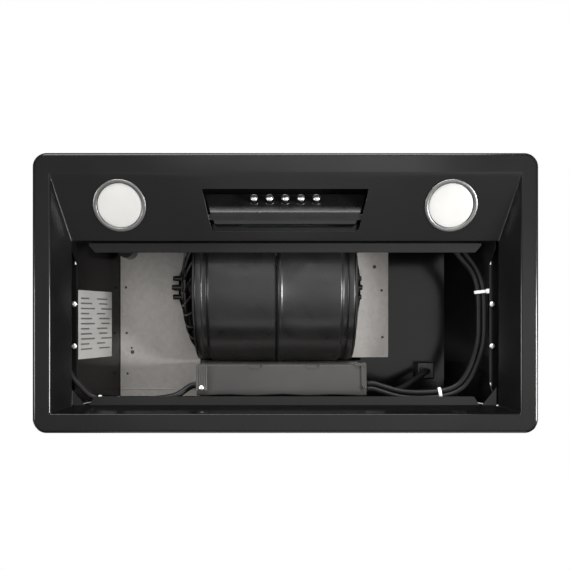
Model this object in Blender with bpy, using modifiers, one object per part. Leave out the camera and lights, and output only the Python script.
"""Built-in range hood insert, seen from below with its grease filter taken out.

Frame: +Z up as installed, controls at -Y, +X to the right of a cook who looks up at it
from the front.  The origin is under the middle of the fascia's lowest face.
"""
from math import atan2, cos, hypot, pi, radians, sin, sqrt

import bmesh
import bpy
from mathutils import Matrix, Vector

MM = 0.001
GAP = 0.3 * MM                  # clearance between neighbouring pieces

# Fascia: one pressed frame with a sloping control panel along its front
FASCIA_WIDTH = 525 * MM
FASCIA_DEPTH = 291 * MM
FASCIA_CORNER = 14.5 * MM
FASCIA_WALL = 2 * MM
FASCIA_LIP = 8 * MM             # height of the turned-up outer edge
FASCIA_EDGE_RADIUS = 4 * MM
RIM_SIDE = 18.1 * MM
RIM_FRONT = 21.4 * MM
RIM_BACK = 20.2 * MM
RECESS_HEIGHT = 24 * MM         # how far the bevels climb from the rim
BEVEL_SIDE = 17.3 * MM
BEVEL_BACK = 5.9 * MM
PANEL_RUN = 68.3 * MM           # plan depth of the sloping control panel
RECESS_CORNER = 1.5 * MM

# Canopy: folded black sheet
SHEET = 1 * MM
CANOPY_TOP = 136 * MM           # underside of the top panel
CANOPY_BOTTOM = 28 * MM
NOTCH_HEIGHT = 40 * MM          # raised lower edge of the side walls
TOP_INSET = 31.3 * MM           # how far a side wall leans in from the opening's edge
WALL_BOTTOM_INSET = 3.4 * MM    # and how far it is inside that edge at the notch
RETURN_FLANGE = 10 * MM
CONTROL_BOX_HEIGHT = 40 * MM
BODY_X = -2 * MM                # the canopy sits this far left of the fascia's middle

# Blower: a plastic drum with its axis along X
DRUM_RADIUS = 86 * MM
DRUM_HALF_LENGTH = 87 * MM
DRUM_CENTRE_X = -11 * MM
DRUM_CENTRE_Y = -10 * MM
DRUM_CLEARANCE = 33 * MM        # from the rim's face up to the drum
DRUM_WALL = 2 * MM
IMPELLER_CLEARANCE = 8 * MM     # between the blades and the outside of the drum
INLET_OVERLAP = 8 * MM          # how far the drum's end covers the blades
BLADE_DEPTH = 14 * MM
SHAFT_RADIUS = 4 * MM
GUARD_DEPTH = {"left": 23 * MM, "right": 10.5 * MM}
STUD_LENGTH = {"left": 10.5 * MM, "right": 5 * MM}
SEAM_X = -9.5 * MM              # where the drum's two halves meet
HUB_RADIUS = 15 * MM
MOTOR_RADIUS = 44 * MM
BLADE_COUNT = 24
GUARD_ARMS = 12

# Duct outlet
MOTOR_BOX_MARGIN = 9 * MM       # from the drum's top to the roof of the box
COLLAR_RADIUS = 74 * MM
COLLAR_HEIGHT = 36 * MM
NECK_SIDE = 100 * MM

# Electrical box behind the drum
BOX_DEPTH = 34 * MM
BOX_BOTTOM = 48 * MM
BOX_LEFT = -97 * MM
BOX_RIGHT = 89.5 * MM

# Controls
POCKET_FRONT = 16.6 * MM        # distances along the slope from the panel's front edge
POCKET_BACK = 61.5 * MM
POCKET_HALF_FRONT = 87 * MM
POCKET_HALF_BACK = 77.6 * MM
BUTTON_COUNT = 5
BUTTON_PITCH = 16.5 * MM
BUTTON_RADIUS = 4.1 * MM
BUTTON_STEM_RADIUS = 3.2 * MM
LAMP_X = 173.8 * MM
LAMP_SLOPE = 34 * MM            # lamp centre along the slope
LAMP_BEZEL_RADIUS = 27.8 * MM
LAMP_LENS_RADIUS = 23.4 * MM

# Worked out from the driving dimensions
HALF_W = FASCIA_WIDTH / 2
HALF_D = FASCIA_DEPTH / 2
RECESS_X = HALF_W - RIM_SIDE
RECESS_FRONT = -HALF_D + RIM_FRONT
RECESS_BACK = HALF_D - RIM_BACK
OPENING_X = RECESS_X - BEVEL_SIDE
OPENING_FRONT = RECESS_FRONT + PANEL_RUN
OPENING_BACK = RECESS_BACK - BEVEL_BACK
PANEL_TILT = atan2(RECESS_HEIGHT, PANEL_RUN)
DRUM_Z = DRUM_CLEARANCE + DRUM_RADIUS
IMPELLER_RADIUS = DRUM_RADIUS - IMPELLER_CLEARANCE
IMPELLER_INNER = IMPELLER_RADIUS - BLADE_DEPTH
INLET_RADIUS = IMPELLER_RADIUS - INLET_OVERLAP
BOX_FRONT = DRUM_CENTRE_Y + DRUM_RADIUS + 1 * MM
BOX_BACK = BOX_FRONT + BOX_DEPTH
WALL_FOOT_X = OPENING_X - WALL_BOTTOM_INSET
WALL_TOP_X = OPENING_X - TOP_INSET
WALL_LEAN = (WALL_FOOT_X - WALL_TOP_X) / (CANOPY_TOP - NOTCH_HEIGHT)
FRONT_WALL_Y = RECESS_FRONT - 1.5 * MM      # inner face
BACK_WALL_Y = OPENING_BACK + 1.1 * MM       # inner face
PANEL_FRAME = Matrix.Translation((0, RECESS_FRONT, 0)) @ Matrix.Rotation(PANEL_TILT, 4, "X")
DRUM_FRAME = Matrix.Translation((DRUM_CENTRE_X, DRUM_CENTRE_Y, DRUM_Z)) @ Matrix.Rotation(pi / 2, 4, "Y")
PROFILE_ALONG_X = Matrix(((0, 0, 1, 0), (1, 0, 0, 0), (0, 1, 0, 0), (0, 0, 0, 1)))
PROFILE_ALONG_Y = Matrix(((1, 0, 0, 0), (0, 0, -1, 0), (0, 1, 0, 0), (0, 0, 0, 1)))


def start_scene():
    for old in list(bpy.data.objects):
        bpy.data.objects.remove(old)
    hood = bpy.data.collections.new("range_hood")
    bpy.context.scene.collection.children.link(hood)
    return hood


HOOD = start_scene()


def material(name, colour, roughness, metallic=0.0):
    made = bpy.data.materials.new(name)
    made.use_nodes = True
    shader = made.node_tree.nodes["Principled BSDF"]
    shader.inputs["Base Color"].default_value = (*colour, 1)
    shader.inputs["Roughness"].default_value = roughness
    shader.inputs["Metallic"].default_value = metallic
    return made


BLACK_ENAMEL = material("black_enamel", (0.012, 0.012, 0.012), 0.35)
BLACK_PLASTIC = material("black_plastic", (0.014, 0.014, 0.014), 0.25)
GALVANISED = material("galvanised_steel", (0.55, 0.54, 0.52), 0.45, 0.9)
GREY_STEEL = material("grey_steel", (0.20, 0.19, 0.18), 0.5, 0.8)
CHROME = material("chrome", (0.8, 0.8, 0.8), 0.12, 1.0)
NICKEL = material("satin_nickel", (0.35, 0.35, 0.34), 0.35, 1.0)
FROSTED = material("frosted_lens", (0.9, 0.9, 0.88), 0.4)
CABLE_BLACK = material("cable_black", (0.01, 0.01, 0.01), 0.45)
TIE_WHITE = material("tie_white", (0.8, 0.8, 0.78), 0.4)
LABEL_SILVER = material("label_silver", (0.5, 0.5, 0.5), 0.5)
BOARD_GREEN = material("board_green", (0.02, 0.12, 0.05), 0.5)


def finished(name, mesh, look, matrix=None):
    """Put a mesh in the collection, faces outwards, smooth with sharp edges kept."""
    shape = bmesh.new()
    shape.from_mesh(mesh)
    bmesh.ops.remove_doubles(shape, verts=shape.verts, dist=1e-6)
    bmesh.ops.recalc_face_normals(shape, faces=shape.faces)
    shape.to_mesh(mesh)
    shape.free()
    made = bpy.data.objects.new(name, mesh)
    mesh.name = name
    if matrix is not None:
        made.matrix_world = matrix
    mesh.materials.clear()
    mesh.materials.append(look)
    mesh.shade_smooth()
    mesh.set_sharp_from_angle(angle=radians(30))
    HOOD.objects.link(made)
    return made


def applied(maker, name, look, matrix=None):
    """Turn an object with modifiers, or a curve, into a plain mesh object."""
    HOOD.objects.link(maker)
    bpy.context.view_layer.update()
    evaluated = maker.evaluated_get(bpy.context.evaluated_depsgraph_get())
    mesh = bpy.data.meshes.new_from_object(evaluated)
    bpy.data.objects.remove(maker)
    return finished(name, mesh, look, matrix)


def box(name, low, high, look, matrix=None):
    shape = bmesh.new()
    size = Vector(high) - Vector(low)
    place = Matrix.Translation((Vector(low) + Vector(high)) / 2) @ Matrix.Diagonal((*size, 1))
    bmesh.ops.create_cube(shape, size=1, matrix=place)
    mesh = bpy.data.meshes.new(name)
    shape.to_mesh(mesh)
    shape.free()
    return finished(name, mesh, look, matrix)


def turned(name, profile, look, matrix=None, steps=36, closed=False):
    """Turn (radius, height) points about local Z; a closed profile makes a ring."""
    mesh = bpy.data.meshes.new(name)
    corners = [(radius, 0, height) for radius, height in profile]
    edges = [(i, i + 1) for i in range(len(corners) - 1)]
    if closed:
        edges.append((len(corners) - 1, 0))
    mesh.from_pydata(corners, edges, [])
    maker = bpy.data.objects.new(name, mesh)
    screw = maker.modifiers.new("Turn", "SCREW")
    screw.steps = screw.render_steps = steps
    screw.use_merge_vertices = True
    screw.merge_threshold = 1e-6
    return applied(maker, name, look, matrix)


def prism(name, outline, depth, look, matrix=None):
    """A flat outline in local XY, from z = 0 up to z = depth."""
    curve = bpy.data.curves.new(name, "CURVE")
    curve.dimensions = "2D"
    curve.fill_mode = "BOTH"
    curve.extrude = depth / 2
    spline = curve.splines.new("POLY")
    spline.points.add(len(outline) - 1)
    for point, (x, y) in zip(spline.points, outline):
        point.co = (x, y, 0, 1)
    spline.use_cyclic_u = True
    flat = applied(bpy.data.objects.new(name, curve), name, look)
    flat.data.transform(Matrix.Translation((0, 0, depth / 2)))
    if matrix is not None:
        flat.matrix_world = matrix
    return flat


def folded_outline(path, thickness):
    """The outline of a sheet that follows path and is thickness thick to its left."""
    left = []
    for i, here in enumerate(path):
        here = Vector(here)
        before = (here - Vector(path[i - 1])).normalized() if i else None
        after = (Vector(path[i + 1]) - here).normalized() if i < len(path) - 1 else None
        before = before or after
        after = after or before
        normal = Vector((-before.y - after.y, before.x + after.x)).normalized()
        stretch = 1 / max(0.3, normal.dot(Vector((-after.y, after.x))))
        left.append(here + normal * thickness * stretch)
    return [tuple(p) for p in path] + [tuple(p) for p in reversed(left)]


def clean(mesh):
    """Close the hairline slivers that a Boolean can leave."""
    shape = bmesh.new()
    shape.from_mesh(mesh)
    bmesh.ops.remove_doubles(shape, verts=shape.verts, dist=5e-6)
    bmesh.ops.dissolve_degenerate(shape, edges=shape.edges, dist=2e-6)
    shape.to_mesh(mesh)
    shape.free()


def combine(target, operand, operation):
    """Apply a Boolean with operand, which is used up."""
    step = target.modifiers.new(operation, "BOOLEAN")
    step.operation = operation
    step.object = operand
    bpy.context.view_layer.update()
    evaluated = target.evaluated_get(bpy.context.evaluated_depsgraph_get())
    mesh = bpy.data.meshes.new_from_object(evaluated)
    target.modifiers.remove(step)
    target.data = mesh
    bpy.data.objects.remove(operand)
    clean(mesh)
    mesh.shade_smooth()
    mesh.set_sharp_from_angle(angle=radians(30))
    return target


def cut(target, operand):
    return combine(target, operand, "DIFFERENCE")


def join(target, operand):
    return combine(target, operand, "UNION")


def rod(name, start, end, radius, look, steps=16):
    """A plain cylinder between two points."""
    start, end = Vector(start), Vector(end)
    length = (end - start).length
    place = Matrix.Translation(start) @ (end - start).to_track_quat("Z", "Y").to_matrix().to_4x4()
    return turned(name, [(0, length), (radius, length), (radius, 0), (0, 0)], look, place, steps)


def smooth_route(points, spacing):
    """Evenly spaced points on a Catmull-Rom curve through a cable's route."""
    route = [Vector(p) for p in points]
    ends = [route[0] * 2 - route[1]] + route + [route[-1] * 2 - route[-2]]
    fine = []
    for i in range(1, len(ends) - 2):
        a, b, c, d = ends[i - 1:i + 3]
        for step in range(20):
            t = step / 20
            fine.append(0.5 * (2 * b + (c - a) * t + (2 * a - 5 * b + 4 * c - d) * t ** 2
                               + (3 * b - a - 3 * c + d) * t ** 3))
    fine.append(route[-1])
    total = sum((q - p).length for p, q in zip(fine, fine[1:]))
    count = max(2, round(total / spacing))
    even, travelled, target = [fine[0]], 0, total / count
    for p, q in zip(fine, fine[1:]):
        stretch = (q - p).length
        while len(even) < count and travelled + stretch >= target * len(even):
            even.append(p.lerp(q, (target * len(even) - travelled) / stretch))
        travelled += stretch
    even.append(route[-1])
    return even


CABLE_STEP = 5                  # distance between a cable's points, in radii


def cable(name, points, radius, look=CABLE_BLACK):
    curve = bpy.data.curves.new(name, "CURVE")
    curve.dimensions = "3D"
    curve.bevel_depth = radius
    curve.bevel_resolution = 2
    curve.use_fill_caps = True
    route = smooth_route(points, radius * CABLE_STEP)
    spline = curve.splines.new("POLY")
    spline.points.add(len(route) - 1)
    for point, place in zip(spline.points, route):
        point.co = (*place, 1)
    return applied(bpy.data.objects.new(name, curve), name, look)


# ---------------------------------------------------------------- fascia and controls

def rounded_rectangle(half_x, front, back, radius, segments=4):
    corners = [(half_x - radius, back - radius, 0), (-half_x + radius, back - radius, 1),
               (-half_x + radius, front + radius, 2), (half_x - radius, front + radius, 3)]
    outline = []
    for x, y, quarter in corners:
        for step in range(segments + 1):
            turn = (quarter + step / segments) * pi / 2
            outline.append((x + radius * cos(turn), y + radius * sin(turn)))
    return outline


def bevel_edge(recess, run, height, wall=0.0):
    """Distance from the middle of a bevel's face, or of its back, at a height."""
    return recess - run * height / RECESS_HEIGHT + wall * hypot(run, RECESS_HEIGHT) / RECESS_HEIGHT


def outer_ring(inset, height):
    outline = rounded_rectangle(HALF_W - inset, -HALF_D + inset, HALF_D - inset, FASCIA_CORNER - inset)
    return [(x, y, height) for x, y in outline]


def bevel_ring(height, wall=0.0):
    outline = rounded_rectangle(bevel_edge(RECESS_X, BEVEL_SIDE, height, wall),
                                -bevel_edge(-RECESS_FRONT, PANEL_RUN, height, wall),
                                bevel_edge(RECESS_BACK, BEVEL_BACK, height, wall), RECESS_CORNER)
    return [(x, y, height) for x, y in outline]


def make_fascia():
    round_off = FASCIA_EDGE_RADIUS
    half_turn = round_off * (1 - cos(pi / 4))
    rings = [outer_ring(0, FASCIA_LIP), outer_ring(0, round_off), outer_ring(half_turn, half_turn),
             outer_ring(round_off, 0), bevel_ring(0), bevel_ring(RECESS_HEIGHT),
             bevel_ring(RECESS_HEIGHT + FASCIA_WALL, FASCIA_WALL), bevel_ring(FASCIA_WALL, FASCIA_WALL),
             outer_ring(round_off, FASCIA_WALL), outer_ring(FASCIA_WALL, round_off),
             outer_ring(FASCIA_WALL, FASCIA_LIP)]
    shape = bmesh.new()
    rows = [[shape.verts.new(point) for point in ring] for ring in rings]
    for row, following in zip(rows, rows[1:] + rows[:1]):
        for i in range(len(row)):
            j = (i + 1) % len(row)
            shape.faces.new((row[i], row[j], following[j], following[i]))
    mesh = bpy.data.meshes.new("fascia")
    shape.to_mesh(mesh)
    shape.free()
    fascia = finished("fascia", mesh, BLACK_ENAMEL)
    pocket = [(-POCKET_HALF_FRONT, POCKET_FRONT), (POCKET_HALF_FRONT, POCKET_FRONT),
              (POCKET_HALF_BACK, POCKET_BACK), (-POCKET_HALF_BACK, POCKET_BACK)]
    reach = 6 * MM
    below = Matrix.Translation((0, 0, -reach / 2))
    cut(fascia, prism("pocket_cutter", pocket, reach, BLACK_ENAMEL, PANEL_FRAME @ below))
    for x in (-LAMP_X, LAMP_X):
        hole = LAMP_BARREL_RADIUS + GAP
        frame = PANEL_FRAME @ Matrix.Translation((x, LAMP_SLOPE, -reach / 2))
        profile = [(0, reach), (hole, reach), (hole, 0), (0, 0)]
        cut(fascia, turned("lamp_cutter", profile, BLACK_ENAMEL, frame))


LAMP_RING_BORE = LAMP_LENS_RADIUS + 0.4 * MM
LAMP_BARREL_RADIUS = LAMP_RING_BORE + 1.4 * MM
LAMP_BARREL_LENGTH = 14 * MM
BEZEL_STAND = 1.6 * MM


def make_lamp(side, x):
    frame = PANEL_FRAME @ Matrix.Translation((x, LAMP_SLOPE, 0))
    turned(f"lamp_ring_{side}",
           [(LAMP_RING_BORE, -BEZEL_STAND), (LAMP_BEZEL_RADIUS - 0.8 * MM, -BEZEL_STAND),
            (LAMP_BEZEL_RADIUS, -BEZEL_STAND / 2), (LAMP_BEZEL_RADIUS, -GAP),
            (LAMP_BARREL_RADIUS, -GAP), (LAMP_BARREL_RADIUS, LAMP_BARREL_LENGTH),
            (LAMP_RING_BORE, LAMP_BARREL_LENGTH)], NICKEL, frame, closed=True)
    turned(f"lamp_lens_{side}",
           [(0, 1.4 * MM), (LAMP_LENS_RADIUS, 1.4 * MM), (LAMP_LENS_RADIUS, -0.2 * MM),
            (LAMP_LENS_RADIUS * 0.6, -0.7 * MM), (0, -0.8 * MM)], FROSTED, frame)
    inside = LAMP_BARREL_RADIUS + GAP
    outside = inside + 1.5 * MM
    foot = inside + 4.5 * MM
    seat = FASCIA_WALL + GAP
    ceiling = LAMP_BARREL_LENGTH + 0.6 * MM
    turned(f"lamp_housing_{side}",
           [(0, ceiling + 1.4 * MM), (outside, ceiling + 1.4 * MM), (outside, seat + 1.2 * MM),
            (foot, seat + 1.2 * MM), (foot, seat), (inside, seat), (inside, ceiling), (0, ceiling)],
           BLACK_PLASTIC, frame)


# The switch housing is a wedge; its points are plan distance from the panel's front edge, and height
RIDGE = (38.7 * MM, 14.5 * MM)
FACE_FOOT = (17.7 * MM, 27 * MM)
REAR_FOOT = (50.2 * MM, 22 * MM)
HOUSING_TOP_FRONT = (17.7 * MM, 35.5 * MM)
HOUSING_TOP_BACK = (50.2 * MM, 34 * MM)
HOUSING_SIDE_GAP = 0.6 * MM
EAR_FRONT, EAR_BACK = 44 * MM, 50 * MM      # along the panel's slope
EAR_OVERLAP = 7 * MM
HOUSING_TAPER = 0.35            # how much each side draws in per step to the back
BUTTON_PLAN = 26 * MM
BUTTON_STAND = 8 * MM
BUTTON_CAP_HEIGHT = 2.6 * MM
STEM_DEPTH = 6 * MM


def housing_half_width(plan):
    return POCKET_HALF_FRONT - HOUSING_SIDE_GAP - (plan - FACE_FOOT[0]) * HOUSING_TAPER


def button_frame(x):
    run, rise = RIDGE[0] - FACE_FOOT[0], FACE_FOOT[1] - RIDGE[1]
    height = RIDGE[1] + rise * (RIDGE[0] - BUTTON_PLAN) / run
    outward = Vector((0, -rise, -run)).normalized()
    place = Matrix.Translation((x, RECESS_FRONT + BUTTON_PLAN, height))
    return place @ outward.to_track_quat("Z", "X").to_matrix().to_4x4()


def button_places():
    first = -(BUTTON_COUNT - 1) / 2 * BUTTON_PITCH
    return [first + i * BUTTON_PITCH for i in range(BUTTON_COUNT)]


def make_switches():
    outline = [FACE_FOOT, RIDGE, REAR_FOOT, HOUSING_TOP_BACK, HOUSING_TOP_FRONT]
    shape = bmesh.new()
    ends = [[shape.verts.new((side * housing_half_width(plan), RECESS_FRONT + plan, height))
             for plan, height in outline] for side in (-1, 1)]
    shape.faces.new(ends[0])
    shape.faces.new(reversed(ends[1]))
    for i in range(len(outline)):
        j = (i + 1) % len(outline)
        shape.faces.new((ends[0][i], ends[1][i], ends[1][j], ends[0][j]))
    mesh = bpy.data.meshes.new("switch_housing")
    shape.to_mesh(mesh)
    shape.free()
    housing = finished("switch_housing", mesh, BLACK_PLASTIC)
    ear = POCKET_HALF_BACK + EAR_OVERLAP
    seat = FASCIA_WALL + GAP
    join(housing, box("ears", (-ear, EAR_FRONT, seat), (ear, EAR_BACK, seat + 2.5 * MM),
                      BLACK_PLASTIC, PANEL_FRAME))
    for number, x in enumerate(button_places(), start=1):
        frame = button_frame(x)
        bore = BUTTON_STEM_RADIUS + GAP
        depth = 25 * MM
        cut(housing, turned("bore", [(0, depth), (bore, depth), (bore, -depth), (0, -depth)],
                            BLACK_PLASTIC, frame, 12))
        shoulder = BUTTON_STAND - BUTTON_CAP_HEIGHT
        turned(f"button_{number}",
               [(0, BUTTON_STAND), (BUTTON_RADIUS - 0.7 * MM, BUTTON_STAND),
                (BUTTON_RADIUS, BUTTON_STAND - 0.7 * MM), (BUTTON_RADIUS, shoulder),
                (BUTTON_STEM_RADIUS, shoulder), (BUTTON_STEM_RADIUS, -STEM_DEPTH), (0, -STEM_DEPTH)],
               CHROME, frame, 16)
    board_low = max(HOUSING_TOP_FRONT[1], HOUSING_TOP_BACK[1]) + GAP
    half = BUTTON_COUNT / 2 * BUTTON_PITCH + 6 * MM
    box("switch_board", (-half, RECESS_FRONT + HOUSING_TOP_FRONT[0], board_low),
        (half, RECESS_FRONT + HOUSING_TOP_BACK[0], board_low + 1.6 * MM), BOARD_GREEN)


# ---------------------------------------------------------------- canopy

NOTCH_FRONT = OPENING_FRONT + 23.4 * MM
NOTCH_BACK = OPENING_BACK - 22.9 * MM
NOTCH_SLOPE = 16 * MM
SKIRT_X = RECESS_X + 2.5 * MM
FLANGE_TOP = NOTCH_HEIGHT - GAP
SCREW_X = WALL_FOOT_X + 2.6 * MM
SCREW_RADIUS = 1.2 * MM
CABLE_SLOT = -1.5 * MM          # top of the slot that the left lamp's cable leaves through
SCREW_YS = (11 * MM, 56.5 * MM)
SCREW_HOLE = SCREW_RADIUS + GAP
SIDES = (("left", -1), ("right", 1))


def wall_inside(height):
    """Half the clear width between the leaning side walls."""
    return WALL_FOOT_X - (height - NOTCH_HEIGHT) * WALL_LEAN


def wall_frame(side):
    """Local X runs to the back, Y up the wall's slope from the notch, Z to +X."""
    run = Vector((-side * WALL_LEAN, 0, 1)).normalized()
    back = Vector((0, 1, 0))
    turn = Matrix((back, run, back.cross(run))).transposed().to_4x4()
    return Matrix.Translation((BODY_X + side * WALL_FOOT_X, 0, NOTCH_HEIGHT)) @ turn


def make_side(name, side):
    slope = hypot(1, WALL_LEAN)
    low = (CANOPY_BOTTOM - NOTCH_HEIGHT) * slope
    high = (CANOPY_TOP - NOTCH_HEIGHT) * slope
    front, back = FRONT_WALL_Y + GAP, BACK_WALL_Y - GAP
    slot_front, slot_back = OPENING_FRONT - 30 * MM, OPENING_FRONT - 12 * MM
    outline = [(front, low), (slot_front, low), (slot_front, CABLE_SLOT), (slot_back, CABLE_SLOT),
               (slot_back, low), (NOTCH_FRONT - NOTCH_SLOPE, low), (NOTCH_FRONT, 0), (NOTCH_BACK, 0),
               (NOTCH_BACK + NOTCH_SLOPE, low), (back, low), (back, high), (front, high)]
    outside = Matrix.Translation((0, 0, 0 if side > 0 else -SHEET))
    prism(f"side_wall_{name}", outline, SHEET, BLACK_ENAMEL, wall_frame(side) @ outside)
    make_side_flange(name, side)
    make_side_spring(name, side)


def make_side_flange(name, side):
    clear = wall_inside(FLANGE_TOP - SHEET) + SHEET * hypot(1, WALL_LEAN) + 0.5 * MM
    front, back = FRONT_WALL_Y + GAP, BACK_WALL_Y - GAP
    outer = SKIRT_X + SHEET / 2
    foot, clear = BODY_X + side * WALL_FOOT_X, BODY_X + side * clear
    plan = [(side * outer, front), (side * outer, back), (clear, back), (clear, NOTCH_BACK - GAP),
            (foot, NOTCH_BACK - GAP), (foot, NOTCH_FRONT + GAP), (clear, NOTCH_FRONT + GAP), (clear, front)]
    base = FLANGE_TOP - SHEET
    flange = prism(f"side_flange_{name}", plan, SHEET, BLACK_ENAMEL, Matrix.Translation((0, 0, base)))
    lows = sorted((side * SKIRT_X, side * (SKIRT_X + SHEET)))
    join(flange, box("skirt", (lows[0], front, FASCIA_WALL + GAP), (lows[1], back, base + SHEET / 2),
                     BLACK_ENAMEL))
    for y in SCREW_YS:
        cut(flange, screw_hole(side, y, base))


def screw_hole(side, y, base):
    x = BODY_X + side * SCREW_X
    return rod("hole", (x, y, base - SHEET), (x, y, base + 3 * SHEET), SCREW_HOLE, BLACK_ENAMEL, 12)


def make_side_spring(name, side):
    """A leaf spring that grips the edge of the cabinet's cut-out, and the screws that hold it."""
    base = NOTCH_HEIGHT
    foot = wall_inside(base) + SHEET * hypot(1, WALL_LEAN) + GAP
    path = [(foot, base), (SKIRT_X - 6 * MM, base), (SKIRT_X, base + 18 * MM),
            (SKIRT_X - 8 * MM, base + 42 * MM), (SKIRT_X - 13 * MM, base + 44 * MM)]
    outline = [(side * x, z) for x, z in folded_outline(path, SHEET)]
    width = 70 * MM
    last = sum(SCREW_YS) / 2 + width / 2
    spring = prism(f"side_spring_{name}", outline, width, BLACK_ENAMEL,
                   Matrix.Translation((BODY_X, last, 0)) @ PROFILE_ALONG_Y)
    for number, y in enumerate(SCREW_YS, start=1):
        cut(spring, screw_hole(side, y, base))
        under = FLANGE_TOP - SHEET - GAP
        turned(f"side_screw_{name}_{number}",
               [(0, 8 * MM), (SCREW_RADIUS, 8 * MM), (SCREW_RADIUS, 0), (3.0 * MM, 0), (2.8 * MM, -1.2 * MM),
                (1.7 * MM, -2.2 * MM), (0, -2.6 * MM)],
               CHROME, Matrix.Translation((BODY_X + side * SCREW_X, y, under)), 12)


def trapezoid(bottom, top, margin):
    low, high = wall_inside(bottom) + margin, wall_inside(top) + margin
    return [(-low, bottom), (low, bottom), (high, top), (-high, top)]


def make_canopy():
    for name, side in SIDES:
        make_side(name, side)
    thick = SHEET
    upright = Matrix.Translation((BODY_X, BACK_WALL_Y + thick, 0)) @ PROFILE_ALONG_Y
    back_wall = prism("back_wall", trapezoid(CANOPY_BOTTOM, CANOPY_TOP, thick), thick, BLACK_ENAMEL, upright)
    half = wall_inside(CANOPY_BOTTOM) - 17 * MM
    mitre = half - 7 * MM
    edge = BACK_WALL_Y - RETURN_FLANGE - 0.6 * MM
    strip = [(-half, BACK_WALL_Y + thick / 2), (-mitre, edge), (mitre, edge), (half, BACK_WALL_Y + thick / 2)]
    join(back_wall, prism("strip", strip, thick, BLACK_ENAMEL,
                          Matrix.Translation((BODY_X / 2, 0, CANOPY_BOTTOM))))
    upright = Matrix.Translation((BODY_X, FRONT_WALL_Y, 0)) @ PROFILE_ALONG_Y
    prism("front_wall", trapezoid(FASCIA_WALL + GAP, CANOPY_TOP, thick), thick, BLACK_ENAMEL, upright)
    make_control_cover(half)
    for name, side in SIDES:
        corner = wall_inside(CANOPY_BOTTOM) + 0.8 * MM
        back = BACK_WALL_Y + thick / 2
        gusset = [(side * corner, back), (side * corner, back - 21 * MM), (side * (corner - 17 * MM), back)]
        prism(f"corner_gusset_{name}", gusset, thick, BLACK_ENAMEL,
              Matrix.Translation((BODY_X, 0, CANOPY_BOTTOM - GAP - thick)))
    make_top_panel()


def make_control_cover(half):
    lip = OPENING_FRONT + 1.7 * MM
    top = CONTROL_BOX_HEIGHT - SHEET
    path = [(FRONT_WALL_Y + GAP, top), (lip, top), (lip, CANOPY_BOTTOM),
            (lip + RETURN_FLANGE, CANOPY_BOTTOM)]
    cover = prism("control_box_cover", folded_outline(path, SHEET), 2 * half, BLACK_ENAMEL,
                  Matrix.Translation((-half, 0, 0)) @ PROFILE_ALONG_X)
    far = lip + RETURN_FLANGE + 1 * MM
    for _, side in SIDES:
        corner = [(side * (half + MM), lip + SHEET + 0.2 * MM), (side * (half + MM), far),
                  (side * (half - 7.6 * MM), far)]
        cut(cover, prism("mitre", corner, 4 * MM, BLACK_ENAMEL,
                         Matrix.Translation((0, 0, CANOPY_BOTTOM - 1.5 * MM))))


def blower_clearance():
    """The drum and its guards with room round them, for cutting the sheets they pass through."""
    room = 2 * MM
    end = DRUM_HALF_LENGTH + room
    right, left = (DRUM_HALF_LENGTH + GUARD_DEPTH[name] + 3 * room for name in ("right", "left"))
    profile = [(0, right), (HUB_RADIUS + 2 * room, right), (DRUM_RADIUS + room, end),
               (DRUM_RADIUS + room, -end), (HUB_RADIUS + 2 * room, -left), (0, -left)]
    return turned("clearance", profile, BLACK_PLASTIC, DRUM_FRAME, 48)


PLATE_TOP = CANOPY_TOP - 0.1 * MM
PLATE_LOW = PLATE_TOP - SHEET
TOP_OPENING_LEFT = DRUM_CENTRE_X - DRUM_HALF_LENGTH - GUARD_DEPTH["left"] - 6 * MM
TOP_OPENING_RIGHT = DRUM_CENTRE_X + DRUM_HALF_LENGTH + GUARD_DEPTH["right"] + 6 * MM
TOP_OPENING_Y = DRUM_RADIUS + 1 * MM


def make_top_panel():
    low = CANOPY_TOP + GAP
    half = wall_inside(CANOPY_TOP) + SHEET
    panel = box("top_panel", (BODY_X - half, FRONT_WALL_Y - SHEET, low),
                (BODY_X + half, BACK_WALL_Y + SHEET, low + SHEET), BLACK_ENAMEL)
    cut(panel, box("opening", (TOP_OPENING_LEFT, DRUM_CENTRE_Y - TOP_OPENING_Y, low - SHEET),
                   (TOP_OPENING_RIGHT, DRUM_CENTRE_Y + TOP_OPENING_Y, low + 3 * SHEET),
                   BLACK_ENAMEL))
    edge = wall_inside(PLATE_LOW) - 0.5 * MM
    left = box("blower_plate_left", (BODY_X - edge, FRONT_WALL_Y + GAP, PLATE_LOW),
               (DRUM_CENTRE_X - DRUM_HALF_LENGTH - 3 * MM, BACK_WALL_Y - GAP, PLATE_TOP), GALVANISED)
    cut(left, blower_clearance())
    cut(left, box("wiring", (BOX_LEFT - GAP, BOX_FRONT - GAP, PLATE_LOW - SHEET),
                  (BOX_RIGHT, BOX_BACK + GAP, PLATE_TOP + SHEET), GALVANISED))
    right = box("blower_plate_right",
                (DRUM_CENTRE_X + DRUM_HALF_LENGTH + 4 * MM, DRUM_CENTRE_Y - DRUM_RADIUS, PLATE_LOW),
                (DRUM_CENTRE_X + DRUM_HALF_LENGTH + 50 * MM, DRUM_CENTRE_Y + DRUM_RADIUS - 2.6 * MM,
                 PLATE_TOP),
                GALVANISED)
    cut(right, blower_clearance())


# ---------------------------------------------------------------- blower

RIGHT_FRAME = DRUM_FRAME
LEFT_FRAME = DRUM_FRAME @ Matrix.Rotation(pi, 4, "X")
GUARD_SEAT = DRUM_HALF_LENGTH + GAP
GUARD_RIM = GUARD_SEAT + 2.5 * MM
BORE_RADIUS = SHAFT_RADIUS + GAP
MOTOR_NEAR = 11 * MM            # distances of the motor's ends from the drum's middle
MOTOR_FAR = 77 * MM
ROOF_TOP = DRUM_Z + DRUM_RADIUS + MOTOR_BOX_MARGIN
NECK_WALL = 2 * MM


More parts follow.
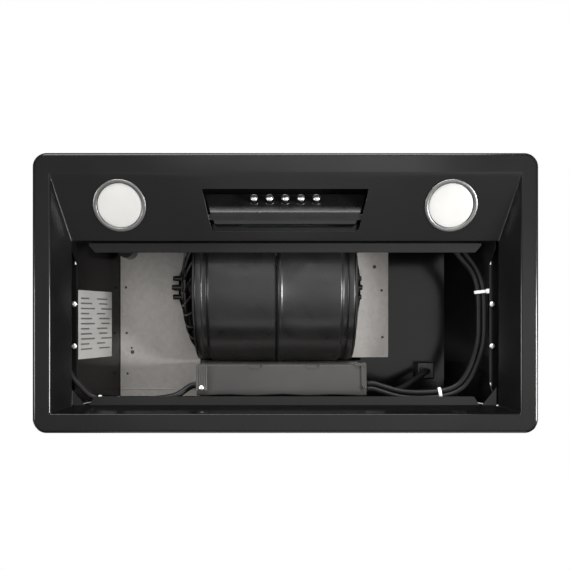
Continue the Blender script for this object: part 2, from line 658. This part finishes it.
def drum_profile(wall):
    """Half the drum's outline, from its middle to its end; wall moves it inwards."""
    radius, half = DRUM_RADIUS - wall, DRUM_HALF_LENGTH - wall
    if wall:
        return [(radius, half - 14 * MM), (radius - 3 * MM, half - 12 * MM), (radius - 3 * MM, half)]
    return [(radius, half - 14 * MM), (radius - 3 * MM, half - 12.4 * MM), (radius - 3 * MM, half - 7.4 * MM),
            (radius - MM, half - 6.4 * MM), (radius - MM, half)]


def whole_profile(half):
    upper = [(r, h) for r, h in reversed(half)]
    lower = [(r, -h) for r, h in half]
    return [(0, upper[0][1])] + upper + lower + [(0, lower[-1][1])]


def make_housing():
    steps = 40
    neck = NECK_SIDE / 2
    for name, side in SIDES:
        shell = turned(f"blower_housing_{name}", whole_profile(drum_profile(0)), BLACK_PLASTIC,
                       DRUM_FRAME, steps)
        x, y, z = DRUM_CENTRE_X, DRUM_CENTRE_Y, DRUM_Z
        join(shell, box("neck", (x - neck, y - neck, z + 40 * MM),
                        (x + neck, y + neck, ROOF_TOP - SHEET - GAP), BLACK_PLASTIC))
        cut(shell, turned("inside", whole_profile(drum_profile(DRUM_WALL)), BLACK_PLASTIC,
                          DRUM_FRAME, steps))
        bore = neck - NECK_WALL
        cut(shell, box("throat", (x - bore, y - bore, z + 50 * MM), (x + bore, y + bore, ROOF_TOP + 10 * MM),
                       BLACK_PLASTIC))
        far = DRUM_HALF_LENGTH + 10 * MM
        cut(shell, turned("inlets", [(0, far), (INLET_RADIUS, far), (INLET_RADIUS, -far), (0, -far)],
                          BLACK_PLASTIC, DRUM_FRAME, steps))
        ends = sorted((x - side * far, SEAM_X + side * GAP / 2))
        cut(shell, box("half", (ends[0], y - 0.2, z - 0.2), (ends[1], y + 0.2, z + 0.2), BLACK_PLASTIC))


def spoke_mesh(name, count, make_matrix, look, frame):
    """Equal bars round local Z, as one mesh of separate closed boxes."""
    shape = bmesh.new()
    for i in range(count):
        place = Matrix.Rotation(2 * pi * i / count, 4, "Z") @ make_matrix
        bmesh.ops.create_cube(shape, size=1, matrix=place)
    mesh = bpy.data.meshes.new(name)
    shape.to_mesh(mesh)
    shape.free()
    return finished(name, mesh, look, frame)


def hub_end(name):
    return GUARD_SEAT + GUARD_DEPTH[name]


def hub_face(name):
    return hub_end(name) - 8 * MM


def make_guard(name, frame):
    rim_in, rim_out = INLET_RADIUS + MM, DRUM_RADIUS - 2 * MM
    face, end = hub_face(name), hub_end(name)
    guard = turned(f"inlet_guard_{name}",
                   [(rim_in, GUARD_SEAT), (rim_out, GUARD_SEAT), (rim_out, GUARD_RIM), (rim_in, GUARD_RIM)],
                   BLACK_PLASTIC, frame, 36, closed=True)
    inner, outer = HUB_RADIUS - 2 * MM, rim_in + 5 * MM
    low, high = GUARD_SEAT + 1.2 * MM, end - 3 * MM
    length = hypot(outer - inner, high - low)
    tilt = atan2(high - low, outer - inner)
    place = (Matrix.Translation(((inner + outer) / 2, 0, (low + high) / 2)) @ Matrix.Rotation(tilt, 4, "Y")
             @ Matrix.Diagonal((length, 3 * MM, 2 * MM, 1)))
    join(guard, spoke_mesh("arms", GUARD_ARMS, place, BLACK_PLASTIC, frame))
    hub = turned("hub", [(0, end), (HUB_RADIUS - 2 * MM, end), (HUB_RADIUS, end - 2 * MM),
                         (HUB_RADIUS, face), (BORE_RADIUS, face), (BORE_RADIUS, end - 3 * MM),
                         (0, end - 3 * MM)],
                 BLACK_PLASTIC, frame, 24)
    reach = STUD_LENGTH[name] + MM
    stud = (Matrix.Translation((11 * MM, 0, end + reach / 2 - MM))
            @ Matrix.Diagonal((5 * MM, 5 * MM, reach, 1)))
    join(hub, spoke_mesh("studs", 4, stud, BLACK_PLASTIC, frame @ Matrix.Rotation(pi / 4, 4, "Z")))
    join(guard, hub)


def make_rotor():
    boss_end = hub_face("left") - GAP
    boss = HUB_RADIUS - 3 * MM
    turned("motor", [(0, boss_end), (boss, boss_end), (boss, MOTOR_FAR), (MOTOR_RADIUS - 3 * MM, MOTOR_FAR),
                     (MOTOR_RADIUS, MOTOR_FAR - 3 * MM), (MOTOR_RADIUS, MOTOR_NEAR + 3 * MM),
                     (MOTOR_RADIUS - 3 * MM, MOTOR_NEAR), (BORE_RADIUS, MOTOR_NEAR),
                     (BORE_RADIUS, MOTOR_NEAR + 40 * MM), (0, MOTOR_NEAR + 40 * MM)],
           GREY_STEEL, LEFT_FRAME, 32)
    x, y, z = DRUM_CENTRE_X, DRUM_CENTRE_Y, DRUM_Z
    rod("motor_shaft", (x - MOTOR_NEAR - 39 * MM, y, z), (x + hub_end("right") - 4 * MM, y, z),
        SHAFT_RADIUS, CHROME)
    disc, collar = 1.5 * MM, 8 * MM
    impeller = turned("impeller", [(BORE_RADIUS, collar), (12 * MM, collar), (12 * MM, disc),
                                   (IMPELLER_RADIUS - MM, disc), (IMPELLER_RADIUS - MM, -disc),
                                   (12 * MM, -disc), (12 * MM, -collar), (BORE_RADIUS, -collar)],
                      GALVANISED, DRUM_FRAME, 36, closed=True)
    half = INLET_RADIUS
    middle = (IMPELLER_RADIUS + IMPELLER_INNER) / 2
    blade = (Matrix.Translation((middle, 0, 0)) @ Matrix.Rotation(radians(25), 4, "Z")
             @ Matrix.Diagonal((IMPELLER_RADIUS - IMPELLER_INNER - 3 * MM, 1.4 * MM, 2 * half - 2 * MM, 1)))
    join(impeller, spoke_mesh("blades", BLADE_COUNT, blade, GALVANISED, DRUM_FRAME))
    for _, side in SIDES:
        ends = (side * half, side * (half - 3 * MM))
        join(impeller, turned("end_ring", [(IMPELLER_INNER, ends[0]), (IMPELLER_RADIUS, ends[0]),
                                           (IMPELLER_RADIUS, ends[1]), (IMPELLER_INNER, ends[1])],
                              GALVANISED, DRUM_FRAME, 36, closed=True))


# ---------------------------------------------------------------- motor box and duct outlet

FLAP_STOP = 14.5 * MM           # height of the flaps' stop ring above the roof
BAR_HALF = 4 * MM
HINGE_RADIUS = 1.2 * MM


def make_outlet():
    x, y = DRUM_CENTRE_X, DRUM_CENTRE_Y
    low = CANOPY_TOP + 2 * GAP + SHEET
    half_y = TOP_OPENING_Y + 2 * MM
    left, right = TOP_OPENING_LEFT - 2 * MM, TOP_OPENING_RIGHT + 2 * MM
    shell = box("motor_box", (left, y - half_y, low), (right, y + half_y, ROOF_TOP), BLACK_ENAMEL)
    cut(shell, box("inside", (left + SHEET, y - half_y + SHEET, low - SHEET),
                   (right - SHEET, y + half_y - SHEET, ROOF_TOP - SHEET), BLACK_ENAMEL))
    mouth = COLLAR_RADIUS - 3 * MM
    cut(shell, rod("mouth", (x, y, ROOF_TOP - 5 * MM), (x, y, ROOF_TOP + 5 * MM), mouth, BLACK_ENAMEL, 48))
    bore = COLLAR_RADIUS - 1.2 * MM
    frame = Matrix.Translation((x, y, ROOF_TOP))
    collar = turned("outlet_collar",
                    [(bore, GAP), (COLLAR_RADIUS + 10 * MM, GAP), (COLLAR_RADIUS + 10 * MM, 1.5 * MM),
                     (COLLAR_RADIUS, 1.5 * MM), (COLLAR_RADIUS, COLLAR_HEIGHT), (bore, COLLAR_HEIGHT),
                     (bore, FLAP_STOP + 1.5 * MM), (bore - 2.3 * MM, FLAP_STOP + 1.5 * MM),
                     (bore - 2.3 * MM, FLAP_STOP), (bore, FLAP_STOP)],
                    BLACK_PLASTIC, frame, 48, closed=True)
    join(collar, box("bar", (-bore - 0.4 * MM, -BAR_HALF, FLAP_STOP - 3 * MM),
                     (bore + 0.4 * MM, BAR_HALF, FLAP_STOP + 5 * MM), BLACK_PLASTIC, frame))
    for name, side in (("front", -1), ("back", 1)):
        make_flap(name, side, bore - 1.2 * MM, frame)


def hinge_offset():
    return BAR_HALF + GAP + HINGE_RADIUS


def make_flap(name, side, reach, frame):
    """Half a disc that hangs on a round bead beside the bar and rests on the stop ring."""
    rest = FLAP_STOP + 1.5 * MM + GAP
    start = hinge_offset()
    opening = atan2(start, sqrt(reach ** 2 - start ** 2))
    steps = 20
    turns = [opening + (pi - 2 * opening) * i / steps for i in range(steps + 1)]
    outline = [(reach * cos(turn), side * reach * sin(turn)) for turn in turns]
    flap = prism(f"damper_flap_{name}", outline, MM, BLACK_PLASTIC,
                 frame @ Matrix.Translation((0, 0, rest)))
    half = reach * cos(opening) - 3 * MM
    axis = frame @ Vector((0, side * start, rest + HINGE_RADIUS))
    join(flap, rod("bead", axis - Vector((half, 0, 0)), axis + Vector((half, 0, 0)), HINGE_RADIUS,
                   BLACK_PLASTIC, 12))


# ---------------------------------------------------------------- electrical parts

COVER_LIP = 10 * MM


def make_wiring_box():
    wall = SHEET
    cover = box("wiring_box_cover", (BOX_LEFT, BOX_FRONT, BOX_BOTTOM),
                (BOX_RIGHT, BOX_BACK, BOX_BOTTOM + COVER_LIP), GREY_STEEL)
    cut(cover, box("inside", (BOX_LEFT + wall, BOX_FRONT + wall, BOX_BOTTOM + wall),
                   (BOX_RIGHT - wall, BOX_BACK - wall, BOX_BOTTOM + 2 * COVER_LIP), GREY_STEEL))
    inset = wall + GAP
    low, high = BOX_BOTTOM + inset, CANOPY_TOP
    base = box("wiring_box_base", (BOX_LEFT + inset, BOX_FRONT + inset, low),
               (BOX_RIGHT - inset, BOX_BACK - inset, high), GALVANISED)
    cut(base, box("inside", (BOX_LEFT + inset + wall, BOX_FRONT + inset + wall, low - wall),
                  (BOX_RIGHT - inset - wall, BOX_BACK - inset - wall, high - wall), GALVANISED))
    middle = (BOX_FRONT + BOX_BACK) / 2
    box("terminal_block", (-60 * MM, middle - 10 * MM, high - wall - GAP - 14 * MM),
        (-10 * MM, middle + 10 * MM, high - wall - GAP), BLACK_PLASTIC)
    clamp_low = BOX_BOTTOM - GAP - 5 * MM
    box("cable_clamp", (BOX_LEFT, BOX_FRONT + MM, clamp_low),
        (BOX_LEFT + 12 * MM, BOX_BACK - 6 * MM, BOX_BOTTOM - GAP), GREY_STEEL)
    turned("clamp_screw", [(0, 0), (2.6 * MM, 0), (2.4 * MM, -1.2 * MM), (1.2 * MM, -2 * MM), (0, -2.2 * MM)],
           CHROME, Matrix.Translation((BOX_LEFT + 6 * MM, BOX_BACK - 9 * MM, clamp_low - GAP)), 12)


CAPACITOR_RADIUS = 9 * MM
CAPACITOR_LENGTH = 30 * MM
GLAND_AT = (168.6 * MM, 88.6 * MM)
GLAND_SIDE = 20 * MM
GLAND_DEPTH = 18 * MM
LABEL_FRONT, LABEL_BACK = -4.6 * MM, 71 * MM
LABEL_LOW, LABEL_HIGH = 1.5 * MM, 74 * MM       # heights above the side wall's notch
CAPACITOR_AT = (-185.5 * MM, -53.5 * MM)


def make_small_parts():
    x, y = CAPACITOR_AT
    top = PLATE_LOW - GAP
    rod("capacitor", (x, y, top - CAPACITOR_LENGTH), (x, y, top), CAPACITOR_RADIUS, BLACK_PLASTIC, 24)
    half = GLAND_SIDE / 2
    box("cable_gland", (GLAND_AT[0] - half, GLAND_AT[1] - half, CANOPY_TOP - GLAND_DEPTH),
        (GLAND_AT[0] + half, GLAND_AT[1] + half, CANOPY_TOP), BLACK_PLASTIC)
    slope = hypot(1, WALL_LEAN)
    box("rating_label", (LABEL_FRONT, LABEL_LOW * slope, GAP),
        (LABEL_BACK, LABEL_HIGH * slope, GAP + 0.4 * MM), LABEL_SILVER, wall_frame(-1))


LOOM_RADIUS = 4.6 * MM
LEAD_RADIUS = 3.5 * MM
LOOM_ROUTE = [(166, -84, 45.3), (182, -64, 45.3), (192.3, -45, 45), (206, -26.4, 43.5), (212.6, -7, 42.5),
              (214, 24, 42), (212.6, 53, 42), (204, 80.5, 42.5), (192, 99.5, 43.5), (175, 107.6, 44.5),
              (150, 110.2, 45.5), (126.5, 109, 47), (106, 103.5, 51.5), (98, 101.1, 53), (91, 101, 53)]
LAMP_CABLE_ROUTE = [(-202, -86, 33), (-213, -80.5, 33.2), (-226, -76, 33.3), (-235, -67, 33.3),
                    (-238.5, -50, 33.3), (-239, -20, 33.3), (-239, 20, 33.3), (-238.5, 50, 33.3),
                    (-236, 72, 33), (-230, 88, 33), (-220.5, 99, 33), (-207.5, 111, 34), (-188, 115, 36),
                    (-150, 114.8, 42), (-122, 112, 54), (-108, 104, 63), (-103, 101.5, 65.9),
                    (-97.6, 101.4, 66)]
MAINS_ROUTE = [(89.1, 100, 66), (96, 100.4, 66), (109, 105, 68), (128, 107, 75), (147, 98.5, 88),
               (163.5, 89.5, 100),
               (168.4, 88.6, 109), (168.6, 88.6, 117.1)]


def metres(route):
    return [tuple(value * MM for value in point) for point in route]


def make_tie(name, points, near, radius, head_drop):
    """A nylon tie round a cable, in the middle of the stretch nearest to a point, its head turned down."""
    route = smooth_route(points, radius * CABLE_STEP)
    stretches = list(zip(route, route[1:]))
    start, end = min(stretches, key=lambda ends: ((ends[0] + ends[1]) / 2 - Vector(near) * MM).length)
    along = (end - start).normalized()
    outward = Matrix.Rotation(radians(head_drop), 3, along) @ along.cross(Vector((0, 0, 1))).normalized()
    turn = Matrix((outward, along.cross(outward), along)).transposed().to_4x4()
    frame = Matrix.Translation((start + end) / 2) @ turn
    bore, thick, half = radius + 0.4 * MM, 1.2 * MM, 1.75 * MM
    tie = turned(name, [(bore, -half), (bore + thick, -half), (bore + thick, half), (bore, half)],
                 TIE_WHITE, frame, 16, closed=True)
    head = bore + thick / 2
    join(tie, box("head", (head, -2.5 * MM, -2.5 * MM), (head + 4 * MM, 2.5 * MM, 2.5 * MM),
                  TIE_WHITE, frame))


def make_cables():
    loom, lamp, mains = metres(LOOM_ROUTE), metres(LAMP_CABLE_ROUTE), metres(MAINS_ROUTE)
    cable("control_loom", loom, LOOM_RADIUS)
    cable("lamp_cable", lamp, LEAD_RADIUS)
    cable("mains_lead_inner", mains, LEAD_RADIUS)
    make_tie("cable_tie_front", loom, (213, -4, 42.5), LOOM_RADIUS, 45)
    make_tie("cable_tie_back", loom, (183, 105, 44), LOOM_RADIUS, 45)
    make_tie("cable_tie_left", lamp, (-198, 113, 35), LEAD_RADIUS, -35)


make_fascia()
make_switches()
for lamp_name, lamp_side in SIDES:
    make_lamp(lamp_name, lamp_side * LAMP_X)
make_canopy()
make_housing()
make_guard("left", LEFT_FRAME)
make_guard("right", RIGHT_FRAME)
make_rotor()
make_outlet()
make_wiring_box()
make_small_parts()
make_cables()
